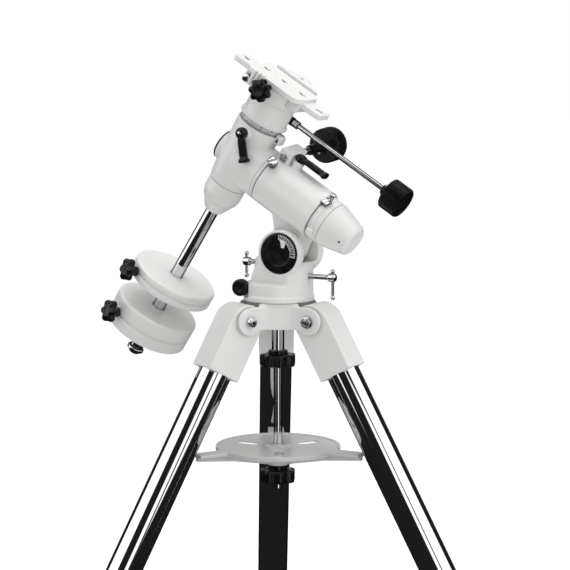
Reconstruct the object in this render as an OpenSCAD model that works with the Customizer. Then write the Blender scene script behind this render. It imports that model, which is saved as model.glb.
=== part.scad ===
// Equatorial mount on a tube tripod.
// Millimetres, +Z up, origin on the floor under the tripod axis.
// +X runs towards the south end of the polar axis.

/* [Tripod] */
// Height of the tripod head's top face above the floor
head_z = 710; // [690:1:730]
// Angle of each leg from the vertical
leg_spread = 29; // [28:0.5:30]
// Distance of each leg's hinge from the tripod axis
hinge_r = 59.6; // [58:0.2:62]
// Depth of each leg's hinge below the head's top face
hinge_drop = 22.9; // [22:0.1:24]
// Outside diameter of the upper leg tubes
tube_d = 44.45; // [42:0.05:46]
// Outside diameter of the sliding inner leg tubes
inner_tube_d = 38; // [34:0.5:39]
// Length of a leg along its axis, from hinge to floor
leg_length = 785.5; // [760:0.5:810]
// Depth of the tray's top face below the head's top face
tray_drop = 197.6; // [190:0.2:205]
// Radius of the tray's round plate
tray_r = 84.5; // [80:0.5:85]

/* [Base] */
// Radius of the azimuth base's foot
base_r = 47.5; // [47:0.5:49]
// Distance of the altitude axle south of the tripod axis
pivot_x = 20; // [19:0.5:21]
// Height of the altitude axle above the head's top face
pivot_h = 66; // [65:0.5:67]
// Radius of the black altitude discs
disc_r = 26.9; // [25:0.1:27.4]
// Distance of the azimuth peg north of the tripod axis
peg_x = 37; // [36:0.5:38]

/* [Polar axis] */
// Elevation of the polar axis above the horizon
latitude = 32.5; // [30:0.5:35]
// Distance from the altitude axle to the crossing of the two axes, along the polar axis
ra_ahead = 129; // [128:0.5:130]
// Height of the polar axis over the altitude axle, square to the polar axis
ra_rise = 64; // [63.5:0.5:66]
// Radius of the polar axis housing
housing_r = 35.5; // [35:0.1:36]
// Far end of the polar axis housing along the axis
housing_end = 140; // [138:1:144]
// Radius of the polar shaft
polar_shaft_r = 16; // [14:0.5:16]
// Angle by which the polar worm is set round the polar axis
worm_clock = 7.5; // [5:0.5:10]

/* [Declination axis] */
// Radius of the declination shaft
dec_shaft_r = 11; // [10:0.5:11.5]
// Radius of the rotating declination head
dec_head_r = 31.5; // [31:0.5:33]
// Length of the declination control rod from the axis to the knob
dec_rod_end = 195; // [190:1:210]

/* [Counterweights] */
// Diameter of the counterweight shaft
cw_shaft_d = 18; // [16:0.5:20]
// Radius of the counterweights
cw_r = 60; // [56:0.5:62]
// Thickness of the upper counterweight
cw_upper_h = 22; // [20:0.5:24]
// Thickness of the lower counterweight
cw_lower_h = 41.5; // [40:0.5:44]
// Position of the upper counterweight's top face below the axes' crossing
cw_upper_top = 194; // [190:0.5:196]
// Position of the lower counterweight's top face below the axes' crossing
cw_lower_top = 248.5; // [246:0.5:251]

/* [Mounting plate] */
// Half of the mounting plate's length
plate_half = 75; // [73:0.5:78]
// Distance of each ring bolt hole from the middle of the plate
ring_hole_x = 62; // [60:0.5:64]
// Diameter of the ring bolt holes
ring_hole_d = 6.6; // [6.2:0.1:7]

/* [Hidden] */
$fn = 96;

// Clearance between a rod or a bush and its bore
fit = 0.05;
white = [0.93, 0.93, 0.92];
black = [0.06, 0.06, 0.065];
chrome = [0.75, 0.76, 0.78];
steel = [0.6, 0.6, 0.62];
brass = [0.75, 0.6, 0.3];
grey = [0.8, 0.8, 0.79];

cross_x = pivot_x - ra_ahead * cos(latitude) + ra_rise * sin(latitude);
cross_z = head_z + pivot_h + ra_ahead * sin(latitude) + ra_rise * cos(latitude);

head_t = 35;
head_corner_r = 88;
ear_gap = 24.6;
ear_out = 30;
ear_r = 18;
pin_r = 4;
pin_head_r = 6.6;
pin_nut_r = 7.5;
pin_washer_r = 8.5;
bracket_w = 47;
bracket_t = 24;
bracket_r = 22;
bracket_len = 78.3;
tube_wall = 1.2;
tube_top = 26;
tube_bottom = 600;
collar_top = 585;
collar_bottom = 640;
collar_wall = 4;
lock_up = 24;
lock_boss_r = 9;
lock_knob_r = 17;
inner_top = 120;
inner_bottom = 752;
foot_top = 738;
foot_r = 22;

rod_r = 6;
sleeve_r = 8.5;
knob_drop = 68;
knob_h = 22;
tray_h = 27;
tray_t = 4;
tray_rim = 4;
tray_hub_r = 14;
tray_arm_r = 126;
slot_r = 47;
slot_half = 10;
slot_end_r = 7;
star_hub_r = 13;

peg_r = 4.5;
screw_z = 18;
screw_r = 3;
base_shift = 1.5;
base_step = 7;
body_r = 46;
shoulder_z = 24;
stop_half = 12;
cheek_r = 31;
az_knob_r = 11.5;
az_knob_from = 28.5;
az_knob_h = 13;
az_pocket_y = az_knob_from - 4.3;
az_pocket_wide = 30.5;
az_pocket_z = 5.5;
az_pocket_h = 25;
cheek_in = 20.3;
cheek_out = 34;
boss_out = 35.5;
south_z = 34;
north_z = 49.5;
tail_half = 7;
tip_gap = 1.6;
bolt_r = 3.4;
tip_h = 2;
bar_r = 2;
bar_tip_r = 3.2;
axle_r = 8;
ring_gap = 0.3;

wheel_x = 59;
wheel_half = 5;
wheel_r = 32.9;
wheel_teeth = 65;
worm_r = 7.4;
worm_gap = 0.7;
worm_axis = wheel_r + worm_r + worm_gap;
worm_y = 7;
worm_half = 12;
worm_journal_r = 4;
worm_shaft_r = 5;
box_near = -10;
box_far = 30;
box_x1 = 68.8;
bearing_r = 24;
shaft_end = 150;
rear_ring_r = 31.5;
rear_ring_end = 158;
cap_end = 200;
ra_knob_from = 93;
ra_knob_to = 121;
ra_knob_r = 24;
lever_x = 77.5;
lever_y = -4;
lever_boss_r = 7.5;
lever_head_r = 8;
lever_t = 7;

seam_x = 49.7;
ring_x = 44.3;
body_top = 52;
flange_z = 60.3;
head_top = 93;
dec_worm_y = 22.1;
dec_worm_z = 75;
dec_wheel_r = 16;
dec_worm_r = 5.5;
nose_z = -42;
cw_edge = 2;
cw_screw_r = 4;
cw_knob_r = 16;
saddle_z = 93.2;
jaw_z = 97;
saddle_r = 35;
groove_z = 100.2;
waist_z = 108;
tail_half_w = 22;
waist_half_w = 20;
near_jaw_top = 112.7;
far_jaw_top = 124;
far_jaw_r = 49;
lobe_y = 46;
lobe_r = 14;
arm_top = 115.6;
arm_half_w = 16;
crown_half = 44;
crown_near = 36;
crown_far = 33;
crown_bottom = 113;
crown_top = 120;
inner_hole_x = 31;
inner_hole_r = 3.2;
clamp_z = 107;
clamp_knob_r = 15.5;
lock_x = -34;
lock_z = 105;
lock_r = 2.5;
lock_lug_y = 33;

// The polar frame: +X down the polar axis, +Z up the declination axis.
module in_polar_frame() {
    translate([cross_x, 0, cross_z]) rotate([0, latitude, 0]) children();
}

// The worm's frame: the polar frame, clocked round the polar axis.
module in_worm_frame() {
    in_polar_frame() rotate([worm_clock, 0, 0]) children();
}

// A leg's frame: the hinge at the origin, the leg running down -Z, +X outwards.
module in_leg_frame(n) {
    rotate([0, 0, 120 * (n - 1)]) translate([hinge_r, 0, head_z - hinge_drop])
        rotate([0, -leg_spread, 0]) children();
}

module cyl_x(x0, x1, r) {
    translate([x0, 0, 0]) rotate([0, 90, 0]) cylinder(h = x1 - x0, r = r);
}

module cyl_y(y0, y1, r) {
    translate([0, y1, 0]) rotate([90, 0, 0]) cylinder(h = y1 - y0, r = r);
}

module cyl_z(z0, z1, r) {
    translate([0, 0, z0]) cylinder(h = z1 - z0, r = r);
}

module tube_z(z0, z1, r_out, r_in) {
    difference() {
        cyl_z(z0, z1, r_out);
        cyl_z(z0 - 1, z1 + 1, r_in);
    }
}

module tube_x(x0, x1, r_out, r_in) {
    rotate([0, 90, 0]) tube_z(x0, x1, r_out, r_in);
}

// A star knob with its back on z = 0 and its axis along Z.
module star_knob(r, h, lobes) {
    steps = 6 * lobes;
    linear_extrude(height = h) polygon([for (i = [0:steps - 1])
        let (a = 360 * i / steps, q = r * (0.88 + 0.12 * cos(a * lobes))) [q * cos(a), q * sin(a)]]);
}

// A knurled knob: a drum with shallow flutes round it.
module knurled_knob(r, h, flutes) {
    difference() {
        cyl_z(0, h, r);
        for (i = [0:flutes - 1]) {
            rotate([0, 0, 360 * i / flutes]) translate([r + 0.6, 0, -1]) cylinder(h = h + 2, r = 1.4);
        }
    }
}

// A gear blank with straight teeth, as a flat outline.
module toothed_disc(r, depth, teeth) {
    polygon([for (i = [0:2 * teeth - 1])
        let (a = 180 * i / teeth, q = i % 2 == 0 ? r : r - depth) [q * cos(a), q * sin(a)]]);
}

// A worm: a drum with ring grooves, along Z and centred on the origin.
module worm_body(r, half, pitch) {
    turns = floor(2 * half / pitch);
    difference() {
        cyl_z(-half, half, r);
        for (i = [0:turns - 1]) {
            translate([0, 0, -half + (i + 0.5) * pitch]) rotate_extrude()
                polygon([[r - 1.6, -0.3], [r + 1, -pitch * 0.45], [r + 1, pitch * 0.45], [r - 1.6, 0.3]]);
        }
    }
}

// ---- Tripod ----

module ear_plate() {
    rotate([90, 0, 0]) linear_extrude(height = ear_out - ear_gap) union() {
        circle(r = ear_r);
        translate([-hinge_r + 30, -head_t + hinge_drop]) square([hinge_r - 30, head_t - 4]);
    }
}

module tripod_head() {
    color(white) difference() {
        union() {
            difference() {
                translate([0, 0, head_z - head_t])
                    linear_extrude(height = head_t) circle(r = head_corner_r, $fn = 3);
                for (n = [0:2]) {
                    rotate([0, 0, 120 * n]) translate([34, -ear_gap, head_z - head_t - 1])
                        cube([60, 2 * ear_gap, head_t + 2]);
                }
            }
            for (n = [0:2]) {
                rotate([0, 0, 120 * n]) translate([hinge_r, 0, head_z - hinge_drop]) {
                    translate([0, -ear_gap, 0]) ear_plate();
                    translate([0, ear_out, 0]) ear_plate();
                }
            }
            translate([-peg_x, 0, head_z - 1]) cylinder(h = 25, r = peg_r);
        }
        cyl_z(head_z - head_t - 1, head_z + 1, rod_r + 0.6);
        for (n = [0:2]) {
            rotate([0, 0, 120 * n]) translate([hinge_r, 0, head_z - hinge_drop])
                cyl_y(-40, 40, pin_r + fit);
        }
    }
}

module hinge_bolts() {
    color(chrome) for (n = [0:2]) {
        rotate([0, 0, 120 * n]) translate([hinge_r, 0, head_z - hinge_drop]) {
            cyl_y(-ear_out - 8, ear_out + 2, pin_r);
            cyl_y(ear_out + 0.1, ear_out + 6.5, pin_head_r);
            cyl_y(-ear_out - 1.6, -ear_out - 0.1, pin_washer_r);
            translate([0, -ear_out - 2, 0]) rotate([90, 0, 0]) cylinder(h = 5.5, r = pin_nut_r, $fn = 6);
        }
    }
}

module bracket_profile() {
    s = sin(leg_spread);
    c = cos(leg_spread);
    outer = [s * bracket_len + c * bracket_t, -c * bracket_len + s * bracket_t];
    inner = [s * bracket_len - c * bracket_t, -c * bracket_len - s * bracket_t];
    crown = [for (a = [leg_spread + 25:13:leg_spread + 155]) bracket_r * [cos(a), sin(a)]];
    side = bracket_t * [c, s];
    polygon(concat([inner, outer, side], crown, [-side]));
}

module leg_bracket(n) {
    color(white) difference() {
        rotate([0, 0, 120 * (n - 1)]) translate([hinge_r, bracket_w / 2, head_z - hinge_drop])
            rotate([90, 0, 0]) linear_extrude(height = bracket_w) bracket_profile();
        in_leg_frame(n) {
            cyl_z(-bracket_len - 5, -tube_top + 0.1, tube_d / 2 + fit);
            cyl_y(-40, 40, pin_r + fit);
            for (y = [-12, 12]) {
                translate([-30, y, -bracket_len + 22]) cyl_x(0, 10, 1.6);
            }
        }
    }
}

module upper_tube(n) {
    color(chrome) in_leg_frame(n) tube_z(-tube_bottom, -tube_top, tube_d / 2, tube_d / 2 - tube_wall);
}

module lock_collar(n) {
    color(black) in_leg_frame(n) difference() {
        union() {
            cyl_z(-collar_bottom, -collar_top, tube_d / 2 + collar_wall);
            translate([0, 0, -collar_bottom + lock_up]) cyl_x(0, 34, lock_boss_r);
        }
        cyl_z(-tube_bottom - fit, -collar_top + 1, tube_d / 2 + fit);
        cyl_z(-collar_bottom - 1, -tube_bottom + 1, inner_tube_d / 2 + 0.06);
        translate([0, 0, -collar_bottom + lock_up]) cyl_x(0, 40, screw_r + fit);
    }
}

module lock_knob(n) {
    color(black) in_leg_frame(n) translate([0, 0, -collar_bottom + lock_up]) {
        cyl_x(inner_tube_d / 2 + 0.5, 36, screw_r);
        translate([34.4, 0, 0]) rotate([0, 90, 0]) star_knob(lock_knob_r, 13, 5);
    }
}

module inner_tube(n) {
    r = inner_tube_d / 2;
    color(chrome) in_leg_frame(n) tube_z(-inner_bottom, -inner_top, r, r - tube_wall);
}

module foot(n) {
    r = inner_tube_d / 2;
    color(black) intersection() {
        in_leg_frame(n) difference() {
            union() {
                cyl_z(-inner_bottom - 8, -foot_top, foot_r);
                translate([0, 0, -leg_length - 14])
                    cylinder(h = leg_length - inner_bottom + 6.2, r1 = 14, r2 = foot_r);
            }
            tube_z(-inner_bottom - fit, -foot_top + 1, r + fit, r - tube_wall - fit);
        }
        translate([-800, -800, 0]) cube([1600, 1600, head_z]);
    }
}

module centre_bolt() {
    color(chrome) {
        cyl_z(head_z - 258, head_z + 14, rod_r);
        cyl_z(head_z - knob_drop - 1, head_z - head_t - 0.3, sleeve_r);
    }
    color(black) translate([0, 0, head_z - knob_drop - knob_h]) {
        star_knob(24.5, knob_h - 5, 7);
        cyl_z(0, knob_h, star_hub_r);
    }
}

module tray_arm() {
    rotate([90, 0, 0]) translate([0, 0, -11]) linear_extrude(height = 22)
        polygon([[10, 0], [tray_arm_r, 0], [tray_arm_r, -4.5], [10, -4.5]]);
    rotate([90, 0, 0]) translate([0, 0, -3]) linear_extrude(height = 6)
        polygon([[6, -3], [tray_arm_r, -3], [tray_arm_r, -9.5], [70, -15], [6, -tray_h]]);
}

module tray_slot() {
    translate([-slot_half, -slot_end_r]) square([2 * slot_half, 2 * slot_end_r]);
    for (x = [-slot_half, slot_half]) {
        translate([x, 0]) circle(r = slot_end_r);
    }
}

module accessory_tray() {
    color(grey) translate([0, 0, head_z - tray_drop]) difference() {
        union() {
            cyl_z(-tray_t, 0, tray_r);
            cyl_z(-tray_h, 2, tray_hub_r);
            for (n = [0:2]) {
                rotate([0, 0, 120 * n]) tray_arm();
            }
        }
        cyl_z(-tray_h - 1, 4, rod_r + 0.1);
        tube_z(-1.5, 3, tray_r - tray_rim, tray_hub_r + 2);
        for (n = [0:2]) {
            rotate([0, 0, 120 * n + 60]) translate([slot_r, 0, -tray_t - 1])
                linear_extrude(height = tray_t + 2) tray_slot();
        }
    }
}

module tray_knob() {
    color(black) translate([0, 0, head_z - tray_drop - tray_h - 24]) difference() {
        union() {
            star_knob(24, 18, 7);
            cyl_z(0, 23.5, star_hub_r);
        }
        cyl_z(-1, 30, rod_r + fit);
    }
}

// ---- Azimuth base and altitude ----

// The side view of the two cheeks and the wall that joins them
module cheek_profile() {
    translate([pivot_x, pivot_h]) circle(r = cheek_r);
    polygon([[-27, 18], [-23.4, 28.5], [-20.9, 39.3], [-15.3, 47.6], [pivot_x - cheek_r, pivot_h],
        [pivot_x + cheek_r, pivot_h], [pivot_x + cheek_r, 18]]);
}

// The side view of the block that carries the north altitude bolt
module stop_profile() {
    polygon([[-37, 18], [-31, 40], [-26, 60], [-10, 60], [-10, 18]]);
}

module azimuth_base() {
    color(white) translate([0, 0, head_z]) difference() {
        union() {
            translate([base_shift, 0, 0]) {
                cyl_z(ring_gap, base_step, base_r);
                cyl_z(base_step - 1, shoulder_z, body_r);
            }
            intersection() {
                union() {
                    translate([0, cheek_out, 0]) rotate([90, 0, 0]) linear_extrude(height = 2 * cheek_out)
                        cheek_profile();
                    translate([0, stop_half, 0]) rotate([90, 0, 0]) linear_extrude(height = 2 * stop_half)
                        stop_profile();
                }
                translate([base_shift, 0, 0]) cyl_z(0, 120, body_r);
            }
            translate([pivot_x, 0, pivot_h]) cyl_y(-boss_out, boss_out, cheek_r - 0.5);
        }
        // fork slot, open to the south above the bolt wall
        translate([-16, -cheek_in, 53]) cube([80, 2 * cheek_in, 60]);
        translate([-60, -cheek_in, 58]) cube([60, 2 * cheek_in, 60]);
        // chamber for the housing's tail
        translate([-16, -cheek_in, 25]) cube([54, 2 * cheek_in, 40]);
        translate([pivot_x, 0, pivot_h]) {
            cyl_y(-40, 40, axle_r + fit);
            cyl_y(-40, -cheek_out + 1.5, disc_r + 0.4);
            cyl_y(cheek_out - 1.5, 40, disc_r + 0.4);
        }
        translate([30, 0, south_z]) cyl_x(0, 40, bolt_r + fit);
        translate([-60, 0, north_z]) cyl_x(0, 50, bolt_r + fit);
        // centre bolt, azimuth peg and azimuth screws
        cyl_z(-1, 18, rod_r + fit);
        translate([-peg_x - 5.1, -9.5, -1]) cube([10.2, 19, 27]);
        translate([-peg_x, 0, screw_z]) cyl_y(-50, 50, screw_r + fit);
        for (y = [-50, az_pocket_y]) {
            translate([-peg_x - 18, y, az_pocket_z]) cube([az_pocket_wide, 50 - az_pocket_y, az_pocket_h]);
        }
    }
}

// side is -1 for the near screw and 1 for the far one
module azimuth_knob(side) {
    color(black) translate([-peg_x, 0, head_z + screw_z]) rotate([-90 * side, 0, 0]) {
        cyl_z(peg_r + 0.2, az_knob_from + 1.5, screw_r);
        translate([0, 0, az_knob_from]) knurled_knob(az_knob_r, az_knob_h, 18);
    }
}

// A thread with a cross bar through its head, along +X from its tip
module altitude_bolt(len, up, down) {
    color(chrome) {
        rotate([0, 90, 0]) cylinder(h = tip_h, r1 = 1.6, r2 = bolt_r);
        cyl_x(tip_h, len, bolt_r);
        cyl_x(len - 1, len + 9, 5.6);
        translate([len + 4, 0, 0]) {
            cyl_z(-down, up, bar_r);
            translate([0, 0, -down]) sphere(r = bar_tip_r);
            translate([0, 0, up]) sphere(r = bar_tip_r);
        }
    }
}

module altitude_bolt_south() {
    tip = pivot_x + tail_half + tip_gap;
    translate([tip, 0, head_z + south_z]) altitude_bolt(78 - tip, 8, 27);
}

module altitude_bolt_north() {
    tip = pivot_x - tail_half - tip_gap;
    translate([tip, 0, head_z + north_z]) mirror([1, 0, 0]) altitude_bolt(tip + 44, 11, 19);
}

module altitude_axle() {
    translate([pivot_x, 0, head_z + pivot_h]) {
        color(steel) cyl_y(-cheek_out + 1.6, cheek_out - 1.6, axle_r);
        color(black) for (s = [-1, 1]) {
            rotate([90 * s, 0, 0]) rotate_extrude()
                polygon([[0, cheek_out - 1.2], [disc_r, cheek_out - 1.2], [disc_r, boss_out + 0.2],
                    [disc_r - 1.2, boss_out + 1], [0, boss_out + 1.4]]);
        }
    }
}

// ---- Polar axis ----

module housing_web() {
    translate([0, cheek_in - 0.5, head_z]) rotate([90, 0, 0]) linear_extrude(height = 2 * cheek_in - 1) {
        translate([pivot_x, pivot_h]) circle(r = 14);
        translate([pivot_x - tail_half, pivot_h - 38]) square([2 * tail_half, 38]);
        polygon([[pivot_x - 13, pivot_h - 8], [pivot_x + 13, pivot_h - 8], [42, 80], [46, 100],
            [20, 125], [0, 125], [4, 100]]);
    }
}

module ra_housing() {
    color(white) difference() {
        union() {
            in_polar_frame() {
                cyl_x(seam_x + 0.6, 60, housing_r + 0.3);
                cyl_x(60, housing_end, housing_r);
                // boss of the lock lever
                translate([lever_x, lever_y, 30]) cylinder(h = 15, r = lever_boss_r);
            }
            in_worm_frame() translate([seam_x + 0.6, box_near, 0])
                cube([box_x1 - seam_x - 0.6, box_far - box_near, worm_axis + worm_r + 3]);
            housing_web();
        }
        in_polar_frame() {
            cyl_x(40, wheel_x + wheel_half + 1, wheel_r + 0.8);
            cyl_x(60, 80, bearing_r + fit);
            cyl_x(79, 122, bearing_r - 2);
            cyl_x(121, housing_end - 6, bearing_r + fit);
            cyl_x(housing_end - 6.2, housing_end + 5, 29.6);
            translate([lever_x, lever_y, 20]) cylinder(h = 40, r = screw_r + fit);
            rotate([45, 0, 0]) translate([55, 0, 30]) cylinder(h = 12, r = screw_r + fit);
        }
        in_worm_frame() translate([wheel_x, 0, worm_axis]) {
            cyl_y(worm_y - worm_half - 0.6, worm_y + worm_half + 0.6, worm_r + 0.6);
            cyl_y(worm_y - worm_half - 4, worm_y, worm_journal_r + fit);
            cyl_y(worm_y, 60, worm_shaft_r + fit);
        }
        translate([pivot_x, 0, head_z + pivot_h]) cyl_y(-40, 40, axle_r + fit);
    }
}

module ra_bearings() {
    color(steel) in_polar_frame() {
        tube_x(66, 78, bearing_r, polar_shaft_r + fit);
        tube_x(123, 133, bearing_r, polar_shaft_r + fit);
    }
}

module polar_shaft() {
    color(steel) in_polar_frame() tube_x(22, shaft_end, polar_shaft_r, 8);
}

module ra_worm_wheel() {
    color(brass) in_polar_frame() translate([wheel_x, 0, 0]) rotate([0, 90, 0]) difference() {
        translate([0, 0, -wheel_half])
            linear_extrude(height = 2 * wheel_half) toothed_disc(wheel_r, 1.4, wheel_teeth);
        cyl_z(-20, 20, polar_shaft_r + fit);
    }
}

module ra_worm() {
    color(chrome) in_worm_frame() translate([wheel_x, worm_y, worm_axis]) rotate([-90, 0, 0]) {
        worm_body(worm_r, worm_half, 4);
        cyl_z(-worm_half - 3.8, -worm_half + 1, worm_journal_r);
        cyl_z(worm_half - 1, 52 - worm_y, worm_shaft_r);
        cyl_z(50 - worm_y, 64 - worm_y, 3.5);
    }
}

module ra_knob() {
    color(black) in_worm_frame() translate([wheel_x, 0, worm_axis]) rotate([-90, 0, 0]) difference() {
        union() {
            cyl_z(56, ra_knob_from + 1, 7);
            translate([0, 0, ra_knob_from]) knurled_knob(ra_knob_r, ra_knob_to - ra_knob_from, 36);
        }
        cyl_z(40, 66, 3.5 + fit);
        translate([0, 0, ra_knob_to - 2]) cylinder(h = 5, r = ra_knob_r - 4);
    }
}

// A flat lever from its pivot outwards, flaring at its tip
module lever_outline(len, half, flare) {
    polygon([[0, -half - 0.5], [0, half + 0.5], [len - 9, half], [len - 2, flare], [len, flare - 2],
        [len, 2 - flare], [len - 2, -flare], [len - 9, -half]]);
}

module ra_lock_lever() {
    color(black) in_polar_frame() translate([lever_x, lever_y, 0]) {
        cyl_z(26, 47, screw_r);
        cyl_z(45.3, 55, lever_head_r);
        translate([0, 0, 46.5]) linear_extrude(height = lever_t) lever_outline(43, 5.7, 7);
    }
}

module housing_thumbscrews() {
    color(chrome) in_polar_frame() {
        rotate([45, 0, 0]) translate([55, 0, 0]) {
            cyl_z(34, 38, screw_r);
            cyl_z(housing_r + 0.5, 48, 7);
        }
        rotate([27, 0, 0]) translate([148, 0, 0]) {
            cyl_z(24, 40, 2.5);
            cyl_z(rear_ring_r + 5.2, 42, 3.6);
            cyl_z(42, 44.5, 5);
        }
    }
}

module ra_setting_circle() {
    color(white) in_polar_frame() tube_x(ring_x + ring_gap, seam_x - ring_gap, housing_r, 31 + fit);
}

module rear_ring() {
    color(white) in_polar_frame() difference() {
        union() {
            cyl_x(housing_end + ring_gap, rear_ring_end, rear_ring_r);
            cyl_x(housing_end - 6, housing_end + 1, 29.5);
            rotate([27, 0, 0]) translate([143, -5, 20]) cube([10, 10, rear_ring_r + 5 - 20]);
        }
        cyl_x(housing_end - 10, rear_ring_end + 1, 21);
        rotate([27, 0, 0]) translate([148, 0, 18]) cylinder(h = 30, r = 2.5 + fit);
    }
}

module rear_cap() {
    seat = rear_ring_end + ring_gap;
    color(white) in_polar_frame() rotate([0, 90, 0]) rotate_extrude()
        polygon([[0, cap_end], [17, cap_end], [21.5, cap_end - 2.5], [rear_ring_r, seat + 1.7],
            [rear_ring_r, seat], [20.9, seat], [20.9, seat - 5.3], [18.5, seat - 5.3],
            [18.5, cap_end - 6], [0, cap_end - 4]]);
}

// ---- Declination axis ----

module dec_housing() {
    color(white) in_polar_frame() difference() {
        union() {
            rotate_extrude() polygon([[0, nose_z + ring_gap], [26.5, nose_z + ring_gap], [28.5, -30],
                [30.5, -8], [31.5, 30], [32.5, 44], [32.5, body_top], [24, body_top], [24, 60],
                [15, 60], [15, 69.7], [0, 69.7]]);
            cyl_x(0, ring_x, housing_r);
            cyl_x(0, seam_x, 31);
            cyl_x(-31.2, 0, 21.5);
            translate([0, 0, 40]) cyl_y(-36, 0, 9);
        }
        cyl_z(-50, 80, 13);
        cyl_x(-40, 60, 8);
        cyl_x(21.8, 60, polar_shaft_r + fit);
        translate([0, 0, 40]) cyl_y(-50, -20, screw_r + fit);
    }
    color(white) in_polar_frame() {
        tube_z(nose_z + ring_gap, -30, 14, dec_shaft_r + fit);
        tube_z(36, 69.7, 14, dec_shaft_r + fit);
    }
}

module polar_front_cap() {
    color(black) in_polar_frame() rotate([0, -90, 0]) rotate_extrude()
        polygon([[0, 26], [7.9, 26], [7.9, 31.4], [21.5, 31.4], [21.5, 33], [21, 33.5], [0, 33.7]]);
}

module dec_shaft() {
    color(steel) in_polar_frame() difference() {
        cyl_z(-58, head_top, dec_shaft_r);
        cyl_x(-20, 20, 6);
    }
}

module dec_setting_circle() {
    color(grey) in_polar_frame() tube_z(body_top + ring_gap, 60, 30.5, 24 + fit);
}

module dec_lock_lever() {
    color(black) in_polar_frame() translate([0, 0, 40]) rotate([0, 50, 0]) {
        cyl_y(-44, -22, screw_r);
        cyl_y(-47, -36.2, lever_head_r);
        translate([0, -38, 0]) rotate([90, 0, 0])
            linear_extrude(height = lever_t) lever_outline(39, 5.8, 8);
    }
}

module dec_worm_wheel() {
    color(brass) in_polar_frame() difference() {
        translate([0, 0, 70]) linear_extrude(height = 10) toothed_disc(dec_wheel_r, 1, wheel_teeth);
        cyl_z(60, 90, dec_shaft_r + 0.1);
    }
}

module nose_cone() {
    color(white) in_polar_frame() difference() {
        rotate_extrude() polygon([[0, nose_z], [26.5, nose_z], [26.5, nose_z - 16], [24, nose_z - 24],
            [12, -86], [0, -86]]);
        cyl_z(-60, -40, dec_shaft_r + 0.1);
        cyl_z(-90, -50, cw_shaft_d / 2 + fit);
        for (a = [0:60:300]) {
            rotate([0, 0, a]) translate([20, -10, -90]) cube([20, 20, 22]);
        }
    }
}

module counterweight_shaft() {
    color(chrome) in_polar_frame() difference() {
        cyl_z(-318, -59, cw_shaft_d / 2);
        cyl_z(-320, -300, screw_r + fit);
    }
}

// A weight whose locking screw is at half height and whose groove is that far below its top face
module counterweight(top, h, r, groove, screw_angle) {
    color(white) in_polar_frame() difference() {
        rotate_extrude() polygon([[0, -top], [r - cw_edge, -top], [r, -top - cw_edge],
            [r, -top - groove + 1.2], [r - 1.6, -top - groove], [r, -top - groove - 1.2],
            [r, -top - h + cw_edge], [r - cw_edge, -top - h], [0, -top - h]]);
        cyl_z(-top - h - 1, -top + 1, cw_shaft_d / 2 + fit);
        translate([0, 0, -top - h / 2]) rotate([0, 0, screw_angle]) cyl_x(0, r + 5, cw_screw_r + fit);
    }
}

module counterweight_knob(top, h, r, screw_angle) {
    color(black) in_polar_frame() translate([0, 0, -top - h / 2]) rotate([0, 0, screw_angle])
        rotate([0, 90, 0]) {
            cyl_z(cw_shaft_d / 2 + 1, r + 12, cw_screw_r);
            cyl_z(r + 1, r + 12, 7);
            translate([0, 0, r + 10]) star_knob(cw_knob_r, 12, 6);
        }
}

module upper_weight_knob() {
    counterweight_knob(cw_upper_top, cw_upper_h, cw_r, 240);
}

module lower_weight_knob() {
    counterweight_knob(cw_lower_top, cw_lower_h, cw_r - 1, 246);
}

module safety_screw() {
    color(chrome) in_polar_frame() {
        cyl_z(-319, -301, screw_r);
        cyl_z(-323.5, -318.3, 12);
        cyl_z(-328, -323.5, 8);
    }
}

module dec_head() {
    color(white) in_polar_frame() difference() {
        union() {
            cyl_z(flange_z, 64.5, 34);
            cyl_z(64, head_top, dec_head_r);
        }
        cyl_z(50, 86, 17.5);
        cyl_z(50, 100, dec_shaft_r + fit);
        translate([0, dec_worm_y, dec_worm_z]) {
            cyl_x(-16, 17, dec_worm_r + 0.6);
            cyl_x(-20, 50, screw_r + fit);
        }
    }
}

module dec_worm() {
    color(chrome) in_polar_frame() translate([0, dec_worm_y, dec_worm_z]) {
        rotate([0, 90, 0]) worm_body(dec_worm_r, 14, 3);
        cyl_x(-19, -13, screw_r);
        cyl_x(13, 32, screw_r);
        cyl_x(31, 40, 5.5);
        cyl_x(39, dec_rod_end + 6, 3.5);
    }
}

module dec_knob() {
    color(black) in_polar_frame() translate([0, dec_worm_y, dec_worm_z]) rotate([0, 90, 0]) difference() {
        union() {
            cyl_z(dec_rod_end - 8, dec_rod_end + 1, 8);
            translate([0, 0, dec_rod_end]) knurled_knob(21.5, 28, 36);
        }
        cyl_z(dec_rod_end - 20, dec_rod_end + 6.2, 3.5 + fit);
    }
}

// The dovetail's cross-section, wider by gap on each side
module dovetail(gap, bottom, top) {
    polygon([[-tail_half_w - gap, bottom], [tail_half_w + gap, bottom], [waist_half_w + gap, waist_z],
        [waist_half_w + gap, top], [-waist_half_w - gap, top], [-waist_half_w - gap, waist_z]]);
}

module far_jaw_outline() {
    intersection() {
        circle(r = far_jaw_r);
        translate([-far_jaw_r + 6, waist_half_w]) square([2 * far_jaw_r - 12, far_jaw_r]);
    }
    translate([0, lobe_y]) circle(r = lobe_r);
}

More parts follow.
